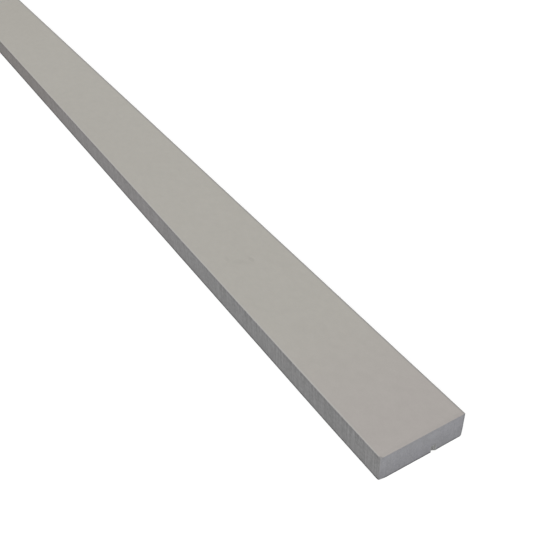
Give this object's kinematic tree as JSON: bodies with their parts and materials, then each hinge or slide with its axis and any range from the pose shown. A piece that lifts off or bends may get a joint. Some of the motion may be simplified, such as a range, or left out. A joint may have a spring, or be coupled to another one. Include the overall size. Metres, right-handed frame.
{
  "type": "trim board",
  "caption": "Flat rectangular trim board with eased long edges, square-sawn ends and a narrow saw kerf running along its back, used to cover and frame joints in a wall.",
  "frame": {"origin": "middle of the back face, at mid length and mid width, on the surface the board lies on", "axes": "+X along the board's length, +Y across its width towards the edge nearer the kerf, +Z out of the show face"},
  "size_m": [2.4, 0.057, 0.018],
  "materials": {
    "fibre_cement": "smooth matt warm grey coat on the show face, sawn neutral grey edges and ends"
  },
  "bodies": {
    "root": {"trim_board": "fibre_cement"}
  },
  "joints": []
}
